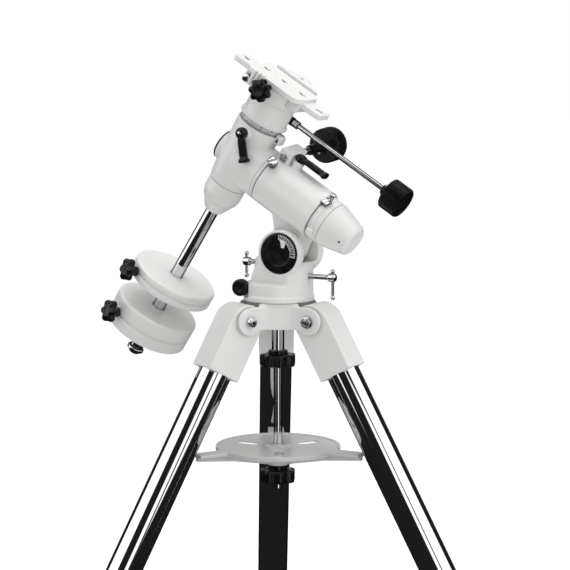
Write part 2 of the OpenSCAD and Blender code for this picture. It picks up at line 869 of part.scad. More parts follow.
module saddle() {
    color(white) in_polar_frame() difference() {
        union() {
            cyl_z(saddle_z, near_jaw_top, saddle_r);
            translate([lock_x - 7, -lock_lug_y, jaw_z]) cube([22, lock_lug_y, near_jaw_top - jaw_z]);
            translate([0, 0, jaw_z]) linear_extrude(height = far_jaw_top - jaw_z) far_jaw_outline();
        }
        translate([-60, -60, near_jaw_top]) cube([120, 60 + crown_far + 0.4, 40]);
        rotate([90, 0, 90]) translate([0, 0, -60])
            linear_extrude(height = 120) dovetail(0.3, groove_z, 140);
        translate([0, 0, clamp_z]) cyl_y(-50, 0, screw_r + fit);
        translate([lock_x, 0, lock_z]) cyl_y(-50, 0, lock_r + fit);
        translate([0, lobe_y, far_jaw_top - 8]) cylinder(h = 20, r = 3);
    }
}

// A rectangle with round corners from its lowest to its highest corner
module rounded(x0, y0, x1, y1, r) {
    translate([x0 + r, y0]) square([x1 - x0 - 2 * r, y1 - y0]);
    translate([x0, y0 + r]) square([x1 - x0, y1 - y0 - 2 * r]);
    for (x = [x0 + r, x1 - r]) {
        for (y = [y0 + r, y1 - r]) {
            translate([x, y]) circle(r = r);
        }
    }
}

module mounting_plate() {
    color(white) in_polar_frame() difference() {
        union() {
            rotate([90, 0, 90]) translate([0, 0, -crown_half]) linear_extrude(height = 2 * crown_half)
                dovetail(0, groove_z + 0.2, crown_bottom + 1);
            translate([0, 0, waist_z]) linear_extrude(height = arm_top - waist_z)
                rounded(-plate_half, -arm_half_w, plate_half, arm_half_w, 5);
            translate([0, 0, crown_bottom]) linear_extrude(height = crown_top - crown_bottom)
                rounded(-crown_half, -crown_near, crown_half, crown_far, 13);
        }
        for (x = [-ring_hole_x, ring_hole_x]) {
            translate([x, 0, 90]) cylinder(h = 40, r = ring_hole_d / 2);
        }
        for (x = [-inner_hole_x, 0, inner_hole_x]) {
            translate([x, 0, 90]) cylinder(h = 40, r = inner_hole_r);
        }
    }
}

module saddle_clamp_knob() {
    color(black) in_polar_frame() translate([0, 0, clamp_z]) rotate([90, 0, 0]) {
        cyl_z(tail_half_w - 0.3, 50, screw_r);
        cyl_z(40.4, 50, 6.5);
        translate([0, 0, 48]) star_knob(clamp_knob_r, 13, 7);
    }
}

module saddle_lock_screw() {
    color(chrome) in_polar_frame() translate([lock_x, 0, lock_z]) rotate([90, 0, 0]) {
        cyl_z(tail_half_w + 0.2, lock_lug_y + 2, lock_r);
        cyl_z(lock_lug_y + 1, lock_lug_y + 8, 5.5);
    }
}

tripod_head();
hinge_bolts();
leg_bracket(1);  // leg_1_bracket
upper_tube(1);  // leg_1_upper_tube
lock_collar(1);  // leg_1_lock_collar
lock_knob(1);  // leg_1_lock_knob
inner_tube(1);  // leg_1_inner_tube
foot(1);  // leg_1_foot
leg_bracket(2);  // leg_2_bracket
upper_tube(2);  // leg_2_upper_tube
lock_collar(2);  // leg_2_lock_collar
lock_knob(2);  // leg_2_lock_knob
inner_tube(2);  // leg_2_inner_tube
foot(2);  // leg_2_foot
leg_bracket(3);  // leg_3_bracket
upper_tube(3);  // leg_3_upper_tube
lock_collar(3);  // leg_3_lock_collar
lock_knob(3);  // leg_3_lock_knob
inner_tube(3);  // leg_3_inner_tube
foot(3);  // leg_3_foot
centre_bolt();
accessory_tray();
tray_knob();
azimuth_base();
azimuth_knob(-1);  // azimuth_knob_near
azimuth_knob(1);  // azimuth_knob_far
altitude_bolt_south();
altitude_bolt_north();
altitude_axle();
ra_housing();
ra_bearings();
polar_shaft();
ra_worm_wheel();
ra_worm();
ra_knob();
ra_lock_lever();
housing_thumbscrews();
ra_setting_circle();
rear_ring();
rear_cap();
dec_housing();
polar_front_cap();
dec_shaft();
dec_setting_circle();
dec_lock_lever();
dec_worm_wheel();
nose_cone();
counterweight_shaft();
counterweight(cw_upper_top, cw_upper_h, cw_r, 11, 240);  // counterweight_upper
counterweight(cw_lower_top, cw_lower_h, cw_r - 1, 22.5, 246);  // counterweight_lower
upper_weight_knob();  // counterweight_knob_upper
lower_weight_knob();  // counterweight_knob_lower
safety_screw();
dec_head();
dec_worm();
dec_knob();
saddle();
mounting_plate();
saddle_clamp_knob();
saddle_lock_screw();
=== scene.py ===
import math

import bmesh
import bpy
from mathutils import Matrix, Vector


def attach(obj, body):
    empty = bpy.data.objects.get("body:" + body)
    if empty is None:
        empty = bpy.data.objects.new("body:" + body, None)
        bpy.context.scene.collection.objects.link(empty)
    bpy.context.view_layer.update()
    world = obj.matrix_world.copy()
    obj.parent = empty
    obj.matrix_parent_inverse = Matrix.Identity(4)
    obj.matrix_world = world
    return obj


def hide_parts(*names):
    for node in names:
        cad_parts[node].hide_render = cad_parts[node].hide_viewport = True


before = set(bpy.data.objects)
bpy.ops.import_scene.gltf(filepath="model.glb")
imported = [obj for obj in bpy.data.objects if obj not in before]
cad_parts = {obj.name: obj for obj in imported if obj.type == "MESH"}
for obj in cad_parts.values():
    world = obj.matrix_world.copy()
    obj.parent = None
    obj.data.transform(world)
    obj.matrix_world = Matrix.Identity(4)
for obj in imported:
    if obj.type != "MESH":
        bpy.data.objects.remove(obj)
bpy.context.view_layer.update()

# ---- Driving sizes of the CAD source, in millimetres ----

HEAD_Z = 710
HINGE_R, HINGE_DROP, SPREAD = 59.6, 22.9, 29
TUBE_R, INNER_R, WALL = 22.225, 19, 1.2
LATITUDE = 32.5
WHEEL_X, WORM_AXIS, WORM_CLOCK = 59, 41, 7.5
HOUSING_R, RING_R = 35.5, 31.5
PIVOT_X, PIVOT_UP = 20, 66
POLAR_LENGTH, DEC_OFFSET = 129, 64
TUBE_END, LOWER_TOP, LOWER_END = -600, -120, -752
COLLAR_TOP, COLLAR_Z, COLLAR_END = -585, -616, -640
TRAY_Z = -197.6
SIN_LAT, COS_LAT = math.sin(math.radians(LATITUDE)), math.cos(math.radians(LATITUDE))
# where the polar and the declination axes cross
CROSS = (PIVOT_X - POLAR_LENGTH * COS_LAT + DEC_OFFSET * SIN_LAT, 0,
         HEAD_Z + PIVOT_UP + POLAR_LENGTH * SIN_LAT + DEC_OFFSET * COS_LAT)
DEC_WORM_Y, DEC_WORM_Z, ROD_END = 22.1, 75, 195
FIT = 0.05


def turn(axis, degrees):
    return Matrix.Rotation(math.radians(degrees), 4, axis)


def shift(x, y, z):
    return Matrix.Translation(Vector((x, y, z)) / 1000)


POLAR = shift(*CROSS) @ turn("Y", LATITUDE)
WORM = POLAR @ turn("X", WORM_CLOCK) @ shift(WHEEL_X, 0, WORM_AXIS) @ turn("X", -90)
DEC_WORM = POLAR @ shift(0, DEC_WORM_Y, DEC_WORM_Z) @ turn("Y", 90)
ALONG = POLAR @ turn("Y", 90)
HEAD = shift(0, 0, HEAD_Z)
AXLE = HEAD @ shift(PIVOT_X, 0, PIVOT_UP)


def hinge(n):
    return turn("Z", 120 * (n - 1)) @ shift(HINGE_R, 0, HEAD_Z - HINGE_DROP)


def leg(n):
    return hinge(n) @ turn("Y", -SPREAD)


# ---- Materials ----


class Nodes:
    """A material's node tree, built by short calls."""

    def __init__(self, name):
        self.material = bpy.data.materials.new(name)
        self.material.use_nodes = True
        self.tree = self.material.node_tree
        self.shader = self.tree.nodes["Principled BSDF"]
        self.coords = self.add("TexCoord").outputs["Object"]

    def add(self, kind, **settings):
        node = self.tree.nodes.new("ShaderNode" + kind)
        for key, value in settings.items():
            if hasattr(node, key):
                setattr(node, key, value)
            else:
                node.inputs[key.replace("_", " ")].default_value = value
        return node

    def link(self, source, target):
        self.tree.links.new(source, target)

    def noise(self, scale, detail=4, stretch=(1, 1, 1), rough=0.5):
        mapping = self.add("Mapping")
        mapping.inputs["Scale"].default_value = stretch
        self.link(self.coords, mapping.inputs["Vector"])
        node = self.add("TexNoise", Scale=scale, Detail=detail, Roughness=rough)
        self.link(mapping.outputs[0], node.inputs["Vector"])
        return node.outputs["Fac"]

    def ramp(self, source, low, high, start=0.35, end=0.65):
        node = self.add("MapRange")
        for key, value in (("From Min", start), ("From Max", end), ("To Min", low), ("To Max", high)):
            node.inputs[key].default_value = value
        self.link(source, node.inputs["Value"])
        return node.outputs["Result"]

    def put(self, value, target):
        """Links an output to the target, or gives the target a plain value."""
        if hasattr(value, "is_output"):
            self.link(value, target)
        else:
            target.default_value = value

    def mix(self, factor, first, second):
        """Mixes a colour or an output with a second colour."""
        node = self.add("Mix", data_type="RGBA")
        self.put(first if hasattr(first, "is_output") else (*first, 1), node.inputs["A"])
        node.inputs["B"].default_value = (*second, 1)
        self.link(factor, node.inputs["Factor"])
        return node.outputs["Result"]

    def calc(self, operation, first, second):
        node = self.add("Math", operation=operation)
        self.put(first, node.inputs[0])
        self.put(second, node.inputs[1])
        return node.outputs[0]

    def bump(self, source, distance, strength=1.0, onto=None):
        node = self.add("Bump", Strength=strength, Distance=distance)
        self.link(source, node.inputs["Height"])
        if onto:
            self.link(onto, node.inputs["Normal"])
        self.link(node.outputs[0], self.shader.inputs["Normal"])
        return node.outputs[0]

    def set(self, **values):
        for key, value in values.items():
            self.put(value, self.shader.inputs[key.replace("_", " ")])


def enamel(name, tone=0.84, corner_shade=0.5, grain=0.00002):
    """Glossy white enamel on a die casting: orange peel, and painted shade that darkens the corners and
    hollows.
    """
    n = Nodes(name)
    # Painted shade: the base colour darkens towards grey where ambient occlusion finds corners and hollows.
    ao = n.add("AmbientOcclusion", Distance=0.012, samples=6)
    corner_shade_mask = n.ramp(ao.outputs["AO"], corner_shade, 0.0, 0.25, 0.85)
    patch = n.ramp(n.noise(30, 6), 0.0, 1.0)
    clean = n.mix(patch, (tone, tone, tone * 0.985), (tone * 0.985, tone * 0.985, tone * 0.965))
    n.set(Base_Color=n.mix(corner_shade_mask, clean, (tone * 0.5, tone * 0.5, tone * 0.48)),
          Roughness=n.ramp(n.noise(60, 5), 0.28, 0.36), Coat_Weight=0.25, Coat_Roughness=0.1)
    peel = n.bump(n.noise(700, 2), grain, 0.5)
    n.bump(n.noise(160, 3), grain * 1.5, 0.3, peel)
    return n.material


def chrome(name, tone=0.82, low=0.02, high=0.1, stretch=(1, 1, 0.02), dark_rim_range=(0.3, 0.55)):
    """Polished chrome with fine lengthwise wiping marks, and a painted dark reflection where the surface
    turns away.
    """
    n = Nodes(name)
    smear = n.noise(60, 6, stretch)
    clean = n.mix(n.ramp(smear, 0, 1), (tone, tone, tone * 1.01), (tone * 0.9, tone * 0.91, tone * 0.93))
    # Painted reflection: the base colour goes near black where the surface turns away from the view.
    dark_rim_reflection = n.ramp(n.add("LayerWeight").outputs["Facing"], 0, 1, *dark_rim_range)
    n.set(Base_Color=n.mix(dark_rim_reflection, clean, (0.02, 0.02, 0.021)), Metallic=1.0,
          Roughness=n.ramp(n.noise(240, 8, stretch), low, high))
    n.bump(n.noise(900, 3, stretch), 0.000004, 0.25)
    return n.material


def turned(name, colour, low=0.18, high=0.38):
    """Turned metal with rings round the part's own Z axis."""
    n = Nodes(name)
    rings = n.noise(50, 8, (0.02, 0.02, 60))
    dull = tuple(c * 0.7 for c in colour)
    n.set(Base_Color=n.mix(n.ramp(rings, 0, 1), colour, dull), Metallic=1.0,
          Roughness=n.ramp(n.noise(200), low, high))
    n.bump(rings, 0.00003, 0.5)
    return n.material


def plastic(name, tone=0.004, low=0.16, high=0.34, grain=0.00002):
    """Moulded black plastic with a faint leathery grain and dusty high spots."""
    n = Nodes(name)
    dust = n.ramp(n.noise(45, 8), 0.0, 1.0, 0.4, 0.8)
    n.set(Base_Color=n.mix(dust, (tone, tone, tone * 1.08), (tone * 2, tone * 2, tone * 2)),
          Roughness=n.ramp(n.noise(130, 6), low, high), Specular_IOR_Level=0.3)
    n.bump(n.noise(1500, 2), grain, 0.6)
    return n.material


def rubber(name):
    n = Nodes(name)
    wear = n.ramp(n.noise(80, 8), 0.0, 1.0, 0.45, 0.75)
    n.set(Base_Color=n.mix(wear, (0.02, 0.02, 0.021), (0.07, 0.069, 0.066)),
          Roughness=n.ramp(n.noise(300), 0.6, 0.85))
    n.bump(n.noise(700, 5), 0.00015, 0.7)
    return n.material


def paint_on_black(name, tone):
    """Printed dial marks, slightly worn."""
    n = Nodes(name)
    worn = n.ramp(n.noise(600, 4), 0.0, 1.0, 0.55, 0.8)
    n.set(Base_Color=n.mix(worn, (tone, tone, tone), (tone * 0.6, tone * 0.6, tone * 0.6)), Roughness=0.45)
    return n.material


WHITE = enamel("white_enamel")
WHITE_SMOOTH = enamel("white_enamel_turned", 0.86, 0.4, 0.00001)
GREY = enamel("grey_enamel", 0.6, 0.55, 0.00001)
CHROME = chrome("polished_chrome")
LEG_CHROME = chrome("leg_chrome", 0.8, 0.015, 0.08, dark_rim_range=(0.6, 0.8))
ROD_CHROME = chrome("rod_chrome", 0.85, 0.03, 0.1, dark_rim_range=(0.14, 0.3))
STEEL = turned("turned_steel", (0.55, 0.55, 0.57))
ZINC = turned("bright_zinc", (0.78, 0.78, 0.8), 0.14, 0.3)
BRASS = turned("gear_brass", (0.72, 0.52, 0.25))
BLACK = plastic("black_plastic")
BLACK_MATT = plastic("black_plastic_matt", 0.006, 0.36, 0.55, 0.00005)
RUBBER = rubber("foot_rubber")
MARK_WHITE = paint_on_black("white_marks", 0.8)
MARK_BLACK = paint_on_black("black_marks", 0.02)

# ---- Shapes ----

def add(name, mesh, place, material, body, node=None, angle=32):
    """Adds a mesh, given in millimetres in its own frame, as a piece that rides on a body."""
    mesh.transform(Matrix.Scale(0.001, 4))
    obj = bpy.data.objects.new(name, mesh)
    bpy.context.scene.collection.objects.link(obj)
    obj.matrix_world = place
    mesh.materials.clear()
    mesh.materials.append(material)
    mesh.shade_smooth()
    mesh.set_sharp_from_angle(angle=math.radians(angle))
    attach(obj, body)
    if node:
        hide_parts(node)
    return obj


def outline(points, steps=4):
    """A list of (r, z) or (r, z, rounding) corners with each given rounding turned into a small arc."""
    out = []
    count = len(points)
    for i, p in enumerate(points):
        f = p[2] if len(p) > 2 else 0
        here = Vector(p[:2])
        if f <= 0 or i in (0, count - 1):
            out.append(here)
            continue
        before, after = Vector(points[i - 1][:2]), Vector(points[i + 1][:2])
        a = here + (before - here).normalized() * min(f, (before - here).length * 0.49)
        b = here + (after - here).normalized() * min(f, (after - here).length * 0.49)
        for k in range(steps + 1):
            t = k / steps
            out.append(a * (1 - t) ** 2 + here * 2 * t * (1 - t) + b * t * t)
    return out


def spin(points, seg=96, wave=None, closed=False):
    """A solid of revolution about Z through (r, z, rounding) corners.

    wave(angle, r, z) may change the radius.
    """
    profile = outline(points)
    bm = bmesh.new()
    rows = []
    for r, z in profile:
        if r < 1e-6:
            rows.append([bm.verts.new((0, 0, z))])
            continue
        row = []
        for i in range(seg):
            a = 2 * math.pi * i / seg
            q = wave(a, r, z) if wave else r
            row.append(bm.verts.new((q * math.cos(a), q * math.sin(a), z)))
        rows.append(row)
    pairs = list(zip(rows, rows[1:])) + ([(rows[-1], rows[0])] if closed else [])
    for low, high in pairs:
        for i in range(seg):
            j = (i + 1) % seg
            quad = [low[i % len(low)], low[j % len(low)], high[j % len(high)], high[i % len(high)]]
            quad = [v for k, v in enumerate(quad) if v not in quad[:k]]
            if len(quad) > 2:
                bm.faces.new(quad)
    bmesh.ops.recalc_face_normals(bm, faces=bm.faces)
    mesh = bpy.data.meshes.new("spin")
    bm.to_mesh(mesh)
    bm.free()
    return mesh


def ring(r_in, r_out, z0, z1, f=0.4, seg=96, wave=None):
    """A tube with rounded edges."""
    pts = [(r_in, z0, f), (r_out, z0, f), (r_out, z1, f), (r_in, z1, f)]
    closed = [pts[-1]] + pts + [pts[0]]
    profile = outline(closed)[1:-1]
    return spin([(p.x, p.y) for p in profile], seg, wave, closed=True)


def prism(points, z0, z1):
    """An extruded outline of (x, y) corners."""
    bm = bmesh.new()
    low = [bm.verts.new((x, y, z0)) for x, y in points]
    high = [bm.verts.new((x, y, z1)) for x, y in points]
    bm.faces.new(low[::-1])
    bm.faces.new(high)
    for i in range(len(points)):
        j = (i + 1) % len(points)
        bm.faces.new((low[i], low[j], high[j], high[i]))
    bmesh.ops.recalc_face_normals(bm, faces=bm.faces)
    mesh = bpy.data.meshes.new("prism")
    bm.to_mesh(mesh)
    bm.free()
    return mesh


def loft(sections, seg=28, power=3.0):
    """A closed body along X through (x, half_width, half_height, z_offset) superellipse sections."""
    bm = bmesh.new()
    rows = []
    for x, w, h, dz in sections:
        row = []
        for i in range(seg):
            a = 2 * math.pi * i / seg
            c, s = math.cos(a), math.sin(a)
            y = w * math.copysign(abs(c) ** (2 / power), c)
            z = h * math.copysign(abs(s) ** (2 / power), s) + dz
            row.append(bm.verts.new((x, y, z)))
        rows.append(row)
    for low, high in zip(rows, rows[1:]):
        for i in range(seg):
            j = (i + 1) % seg
            bm.faces.new((low[i], low[j], high[j], high[i]))
    bm.faces.new(rows[0][::-1])
    bm.faces.new(rows[-1])
    bmesh.ops.recalc_face_normals(bm, faces=bm.faces)
    mesh = bpy.data.meshes.new("loft")
    bm.to_mesh(mesh)
    bm.free()
    return mesh


def joined(meshes):
    """One mesh from several, each with its own place as (mesh, matrix)."""
    bm = bmesh.new()
    for mesh, place in meshes:
        part = bmesh.new()
        part.from_mesh(mesh)
        place = place.copy()
        place.translation = place.translation * 1000
        bmesh.ops.transform(part, matrix=place, verts=part.verts)
        scratch = bpy.data.meshes.new("scratch")
        part.to_mesh(scratch)
        part.free()
        bm.from_mesh(scratch)
        bpy.data.meshes.remove(scratch)
    mesh = bpy.data.meshes.new("joined")
    bm.to_mesh(mesh)
    bm.free()
    return mesh


def applied(obj):
    """The object's mesh with its modifiers applied; the object is removed."""
    graph = bpy.context.evaluated_depsgraph_get()
    mesh = bpy.data.meshes.new_from_object(obj.evaluated_get(graph))
    bpy.data.objects.remove(obj)
    return mesh


def scratch_object(mesh):
    obj = bpy.data.objects.new("scratch", mesh)
    bpy.context.scene.collection.objects.link(obj)
    return obj


def carve(mesh, cuts):
    """Cuts (mesh, matrix) solids out of a mesh, all in millimetres."""
    obj = scratch_object(mesh)
    cutter = scratch_object(joined(cuts))
    mod = obj.modifiers.new("cut", "BOOLEAN")
    mod.operation, mod.object, mod.solver = "DIFFERENCE", cutter, "EXACT"
    mod.use_self = True
    out = applied(obj)
    bpy.data.objects.remove(cutter)
    return out


def cast(node, extra=(), cuts=(), voxel=0.9, rounds=6):
    """A casting: the CAD solid with added details, its edges rounded by remeshing, then holes cut."""
    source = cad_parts[node].data.copy()
    source.transform(Matrix.Scale(1000, 4))
    mesh = joined([(source, Matrix())] + list(extra))
    obj = scratch_object(mesh)
    remesh = obj.modifiers.new("remesh", "REMESH")
    remesh.mode, remesh.voxel_size = "VOXEL", voxel * 1
    smooth = obj.modifiers.new("smooth", "SMOOTH")
    smooth.factor, smooth.iterations = 0.5, rounds
    out = applied(obj)
    if cuts:
        out = carve(out, cuts)
    return out


def flutes(count, depth, r_min):
    """A radius wave of count rounded ribs, on radii over r_min."""
    def wave(a, r, z):
        return r - depth * (0.5 - 0.5 * math.cos(a * count)) ** 2 if r > r_min else r
    return wave


def star(count, depth, r_min):
    """A radius wave of count lobes with narrow valleys."""
    def wave(a, r, z):
        return r * (1 - depth * (0.5 - 0.5 * math.cos(a * count)) ** 1.6) if r > r_min else r
    return wave


def nut_wave(a, r, z):
    """Turns a round outline into a hexagon across flats 2 r."""
    k = math.radians(60)
    return r / math.cos((a % k) - k / 2)


# ---- Tripod ----

def slot_cut(length, width, depth):
    """A round-ended cutter along X that goes depth deep below z = 0."""
    r = width / 2
    pts = []
    for end, start in ((-1, 90), (1, -90)):
        for step in range(0, 181, 15):
            a = math.radians(start + step)
            pts.append((end * (length / 2 - r) + r * math.cos(a), r * math.sin(a)))
    return prism(pts, -depth, 5)


add("tripod_head_casting", cast("tripod_head", voxel=0.9, rounds=5), Matrix(), WHITE, "root", "tripod_head",
    60)


def bolt_set():
    """One hinge bolt along Z with its head, washer and nut."""
    shank = spin([(0, -37), (3.4, -37, 0.5), (4, -36.2), (4, 37), (3.4, 38, 0.5), (0, 38)], 32)
    head = spin([(0, 30.1), (7.2, 30.1, 0.3), (7.2, 33.4, 0.8), (5.6, 36.3, 0.8), (3.4, 36.4, 0.3),
                 (3, 34.4, 0.3), (0, 34.4)], 48)
    washer = ring(4, 8.5, -31.6, -30.1, 0.4, 48)
    nut = spin([(4, -31.7), (6.4, -31.7, 0.6), (6.5, -37.0, 0.8), (4.4, -37.2), (4, -36.8)], 48, nut_wave)
    return joined([(shank, Matrix()), (head, Matrix()), (washer, Matrix()), (nut, Matrix())])


for n in (1, 2, 3):
    add(f"hinge_bolt_{n}", bolt_set(), hinge(n) @ turn("X", -90), ZINC, "root",
        "hinge_bolts" if n == 1 else None)
    add(f"leg_{n}_bracket_casting", cast(f"leg_{n}_bracket", voxel=0.9, rounds=6), Matrix(), WHITE,
        f"leg_{n}", f"leg_{n}_bracket", 60)
    tube = ring(TUBE_R - WALL, TUBE_R, TUBE_END, -26, 0.3)
    add(f"leg_{n}_chrome_tube", tube, leg(n), LEG_CHROME, f"leg_{n}", f"leg_{n}_upper_tube")
    collar = spin([(TUBE_R + FIT, TUBE_END, 0.3), (TUBE_R + FIT, COLLAR_TOP, 0.6),
                   (TUBE_R + 3, COLLAR_TOP, 0.8), (TUBE_R + 3, -590, 1), (TUBE_R + 4, -592, 1),
                   (TUBE_R + 4, -634, 1), (TUBE_R + 2.6, COLLAR_END, 1.5),
                   (INNER_R + 0.1, COLLAR_END, 0.4), (INNER_R + 0.1, TUBE_END - 0.2),
                   (TUBE_R + FIT, TUBE_END - 0.2)], 96, closed=True)
    boss = spin([(0, 0), (9, 0), (9, 33, 1), (3.4, 33), (3.4, 20), (0, 20)], 48)
    tabs = loft([(10, 5, 22, 0), (28, 5, 22, 0), (33, 4, 18, 0)], 24, 6)
    add(f"leg_{n}_collar", joined([(collar, Matrix()), (boss, shift(0, 0, COLLAR_Z) @ turn("Y", 90)),
                                   (tabs, shift(0, 0, -612))]), leg(n), BLACK_MATT, f"leg_{n}",
        f"leg_{n}_lock_collar")
    knob = spin([(0, 35.4), (9, 35.4, 0.5), (17, 36.4, 1.2), (17, 46, 2), (10, 47.3, 1), (6, 47.3, 0.3),
                 (6, 45.6, 0.3), (0, 45.6)], 100, star(5, 0.26, 9.5))
    screw = spin([(0, 20), (2.4, 20, 0.4), (2.9, 20.8), (2.9, 37), (0, 37)], 32)
    place = leg(n) @ shift(0, 0, COLLAR_Z) @ turn("Y", 90)
    add(f"leg_{n}_knob", knob, place, BLACK, f"leg_{n}_lock", f"leg_{n}_lock_knob")
    add(f"leg_{n}_knob_screw", screw, place, STEEL, f"leg_{n}_lock")
    add(f"leg_{n}_lower_tube", ring(INNER_R - WALL, INNER_R, LOWER_END, LOWER_TOP, 0.3), leg(n),
        LEG_CHROME, f"leg_{n}_lower", f"leg_{n}_inner_tube")
    foot_mesh = cast(f"leg_{n}_foot", voxel=0.8, rounds=4)
    add(f"leg_{n}_rubber_foot", foot_mesh, Matrix(), RUBBER, f"leg_{n}_lower", f"leg_{n}_foot",
        60)

rod = spin([(0, -258), (4.6, -258, 0.6), (6, -256.6, 0.3), (6, 13, 0.4), (5, 14), (0, 14)], 64)
sleeve = spin([(0, -69), (8.5, -69, 0.3), (8.5, -35.4, 0.5), (0, -35.4)], 96)
add("centre_rod", joined([(rod, Matrix()), (sleeve, Matrix())]), HEAD, CHROME, "centre_bolt", "centre_bolt")


def big_star(r, h, hub):
    """A seven-lobed moulded knob, its underside at z = 0."""
    body = spin([(6.4, 0.4), (r * 0.45, 0.4, 0.5), (r * 0.5, 0, 0.6), (r, 0.6, 2.6), (r, h - 0.6, 2.8),
                 (r * 0.62, h, 1), (r * 0.56, h - 1.2, 0.8), (6.4, h - 1.2)], 140, star(7, 0.2, r * 0.6),
                True)
    boss = ring(6.3, 13, 2, hub, 1.2, 64)
    return joined([(body, Matrix()), (boss, Matrix())])


add("centre_knob", big_star(24.5, 17, 22), HEAD @ shift(0, 0, -90), BLACK, "centre_bolt")
add("tray_star_knob", big_star(24, 18, 23.5), HEAD @ shift(0, 0, TRAY_Z - 27 - 24), BLACK, "tray_knob",
    "tray_knob")

tray_rim = ring(81, 84.3, -6.5, -0.2, 1.2, 120)
tray = cast("accessory_tray", [(tray_rim, HEAD @ shift(0, 0, TRAY_Z))], voxel=0.8, rounds=4)
add("accessory_tray_casting", tray, Matrix(), GREY, "tray", "accessory_tray", 50)

# ---- Azimuth base and altitude ----

base_slot = (slot_cut(11, 2.4, 2), HEAD @ shift(6, -45.4, 25.5) @ turn("X", 60))
add("azimuth_base_casting", cast("azimuth_base", cuts=[base_slot], voxel=0.8, rounds=6), Matrix(), WHITE,
    "azimuth", "azimuth_base", 60)

for side, name in ((-1, "near"), (1, "far")):
    place = HEAD @ shift(-37, 0, 18) @ turn("X", -90 * side)
    knob = spin([(3, 28.5), (7.5, 28.5, 0.4), (7.5, 30.4, 0.3), (11.5, 30.8, 0.8), (11.5, 40, 1),
                 (9.6, 41.5, 0.8), (5, 41.5, 0.4), (4.4, 40.9, 0.4), (0, 40.9)], 144, flutes(24, 0.7, 10.8))
    screw = spin([(0, 5.3), (2.2, 5.3, 0.4), (3, 6.2), (3, 30), (0, 30)], 32)
    add(f"azimuth_{name}_knob", knob, place, BLACK, f"azimuth_{name}", f"azimuth_knob_{name}")
    add(f"azimuth_{name}_screw", screw, place, STEEL, f"azimuth_{name}")


def thread(r, z0, z1, pitch=1.25, depth=0.55):
    """Corners of a threaded length, from z0 to z1."""
    count = int((z1 - z0) / pitch)
    pts = []
    for i in range(count):
        z = z0 + i * pitch
        pts += [(r - depth, z), (r, z + pitch * 0.4), (r, z + pitch * 0.6)]
    return pts + [(r - depth, z0 + count * pitch)]


SOUTH_TIP, SOUTH_HEAD, NORTH_TIP = 28.6, 78, 11.4


def tommy_bolt(head, up, down):
    """A threaded bolt along X from its tip at 0, with a sliding bar through its head."""
    bolt = spin([(0, 0), (1.8, 0, 0.3), (2.6, 2)] + thread(3.4, 2, head - 3)
                + [(3.4, head - 2), (5.6, head - 1, 0.4), (5.6, head + 7.4, 1.4), (3, head + 9),
                   (0, head + 9)], 48)
    bar = spin([(0, -down - 3.2), (1.2, -down - 3, 0.4), (2.9, -down - 1.2, 1.2), (2.9, -down + 1.2, 1.2),
                (2, -down + 2.6, 0.4), (2, up - 2.6, 0.4), (2.9, up - 1.2, 1.2), (2.9, up + 1.2, 1.2),
                (1.2, up + 3, 0.4), (0, up + 3.2)], 32)
    return joined([(bolt, turn("Y", 90)), (bar, shift(head + 4, 0, 0))])


add("altitude_south_bolt", tommy_bolt(SOUTH_HEAD - SOUTH_TIP, 8, 27), HEAD @ shift(SOUTH_TIP, 0, 34),
    CHROME, "altitude_south", "altitude_bolt_south")
add("altitude_north_bolt", tommy_bolt(NORTH_TIP + 44, 11, 19),
    HEAD @ shift(NORTH_TIP, 0, 49.5) @ turn("Z", 180), CHROME, "altitude_north", "altitude_bolt_north")

axle = spin([(0, -32.4), (8, -32.4, 0.3), (8, 32.4, 0.3), (0, 32.4)], 64)
add("altitude_axle_pin", axle, AXLE @ turn("X", 90), STEEL, "altitude", "altitude_axle")


def digits(text, size, place):
    """Generic dial numbers as raised print."""
    curve = bpy.data.curves.new("digits", "FONT")
    curve.body, curve.size, curve.extrude, curve.offset = text, size, 0.06, 0.05
    curve.align_x = curve.align_y = "CENTER"
    obj = bpy.data.objects.new("digits", curve)
    bpy.context.scene.collection.objects.link(obj)
    return applied(obj), place


def dial(parts, name, place, material, body):
    """All the printed marks of one scale as one piece."""
    add(name, joined(parts), place, material, body)


def bar(w, d, h):
    """A flat printed stroke, centred on its place."""
    return prism([(-w / 2, -d / 2), (w / 2, -d / 2), (w / 2, d / 2), (-w / 2, d / 2)], 0, h)


for side, name in ((-1, "near"), (1, "far")):
    face = AXLE @ turn("X", -90 * side)
    disc = spin([(0, 32.8), (26.9, 32.8, 0.3), (26.9, 35.4, 1), (25.6, 36.2, 0.6), (16.6, 36.3, 0.3),
                 (16, 35.8, 0.3), (0, 35.9)], 128)
    add(f"altitude_disc_{name}", disc, face, BLACK, "altitude")

DISC_FACE, TICK_R, NUMBER_R = 36.26, 25, 18.4
marks = []
for i in range(19):
    size = 3 if i % 2 else 4.2
    marks.append((bar(size, 0.9, 0.12), turn("Z", 88 - i * 5.5) @ shift(TICK_R - size / 2, 0, DISC_FACE)))
for i, value in enumerate(range(90, -1, -15)):
    place = turn("Z", 84 - i * 15.5) @ shift(NUMBER_R, 0, DISC_FACE + 0.04) @ turn("Z", -90)
    marks.append(digits(str(value), 5, place))
wedge = prism([(4.2, 8), (2.4, 19), (11, 16.5), (8.4, 7.5)], 35.85, 36.42)
marks.append((wedge, Matrix()))
dial(marks, "altitude_scale", AXLE @ turn("X", 90), MARK_WHITE, "altitude")

# ---- Polar axis ----

add("ra_housing_casting", cast("ra_housing", voxel=0.9, rounds=6), Matrix(), WHITE, "altitude",
    "ra_housing", 60)

circle = ring(31.05, HOUSING_R, 44.6, 49.4, 0.5, 128)
add("ra_circle_ring", circle, ALONG, WHITE_SMOOTH, "ra_circle", "ra_setting_circle")
RA_TICKS, RA_TICK_END = 96, 49.2
ticks = []
for i in range(RA_TICKS):
    size = 1.5 if i % 4 else 2.6
    place = turn("Z", i * 360 / RA_TICKS) @ shift(HOUSING_R - 0.04, 0, RA_TICK_END - size / 2)
    ticks.append((bar(0.3, size, 0.1), place @ turn("Y", 90) @ turn("Z", 90)))
dial(ticks, "ra_circle_marks", ALONG, MARK_BLACK, "ra_circle")

